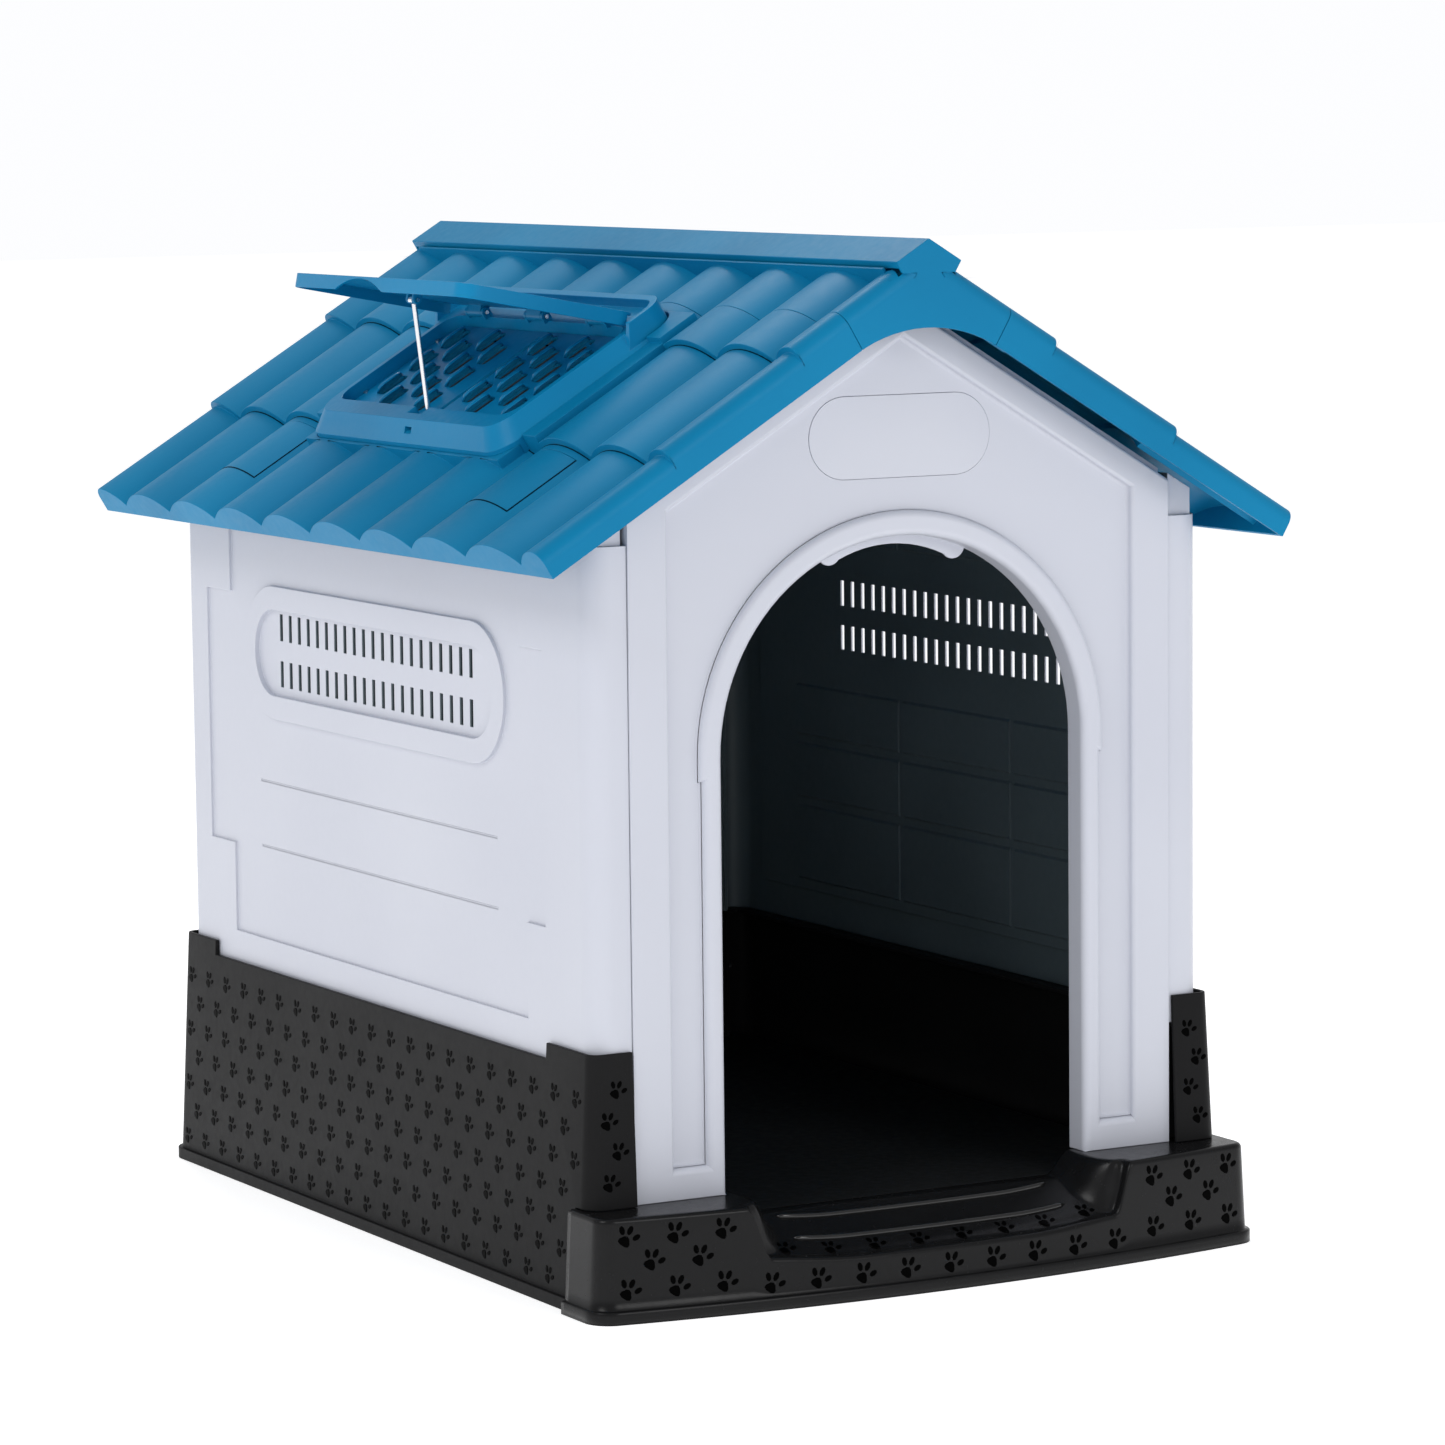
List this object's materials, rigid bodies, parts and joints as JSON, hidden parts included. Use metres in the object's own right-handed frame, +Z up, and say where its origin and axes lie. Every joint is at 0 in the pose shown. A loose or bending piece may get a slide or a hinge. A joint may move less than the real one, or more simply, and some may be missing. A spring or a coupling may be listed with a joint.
{
  "type": "plastic dog house",
  "caption": "Gable-roofed plastic kennel with an arched doorway, vented side walls, a black skirted base with a step, and a propped skylight lid in the tiled roof.",
  "frame": {"origin": "centre of the bounding box's footprint, on the ground", "axes": "+Y runs from the doorway to the back wall, +X is to the right seen from the front, +Z is up"},
  "size_m": [0.8196, 1.052, 0.98],
  "materials": {
    "base_black": "textured satin",
    "floor_black": "satin",
    "wall_white": "satin",
    "plate_white": "satin",
    "roof_blue": "satin",
    "skylight_blue": "satin",
    "pad_rubber": "matt",
    "rod_steel": "polished",
    "steel_fixings": "zinc plated"
  },
  "bodies": {
    "kennel": {"base_front_step": "base_black", "base_left": "base_black", "base_right": "base_black", "base_back": "base_black", "floor_front": "floor_black", "floor_rear": "floor_black", "foot_pads": "pad_rubber", "base_bolts": "steel_fixings", "wall_left": "wall_white", "wall_right": "wall_white", "wall_front": "wall_white", "wall_back": "wall_white", "name_plate": "plate_white", "corner_screws": "steel_fixings", "roof_left": "roof_blue", "roof_right": "roof_blue", "roof_ridge": "roof_blue", "tile_covers": "roof_blue", "roof_screws": "steel_fixings", "ridge_screws": "steel_fixings", "skylight_frame": "skylight_blue", "skylight_grille": "skylight_blue", "grille_screws": "steel_fixings", "lid_hinge_pins": "rod_steel"},
    "lid": {"skylight_lid": "skylight_blue", "rod_pivot_pin": "rod_steel"},
    "rod": {"prop_rod": "rod_steel"}
  },
  "joints": [
    {"name": "lid_swing", "type": "hinge", "parent": "kennel", "child": "lid", "pos_m": [-0.1497, 0.01, 0.89763], "axis": [0, -1, 0], "range_deg": [0, 41.6]},
    {"name": "rod_swing", "type": "hinge", "parent": "lid", "child": "rod", "pos_m": [-0.28842, 0.002, 0.91749], "axis": [0, -1, 0], "range_deg": [0, 72.21]}
  ],
  "couplings": [
    {"joint": "rod_swing", "follows": "lid_swing", "ratio": 1.7357}
  ]
}
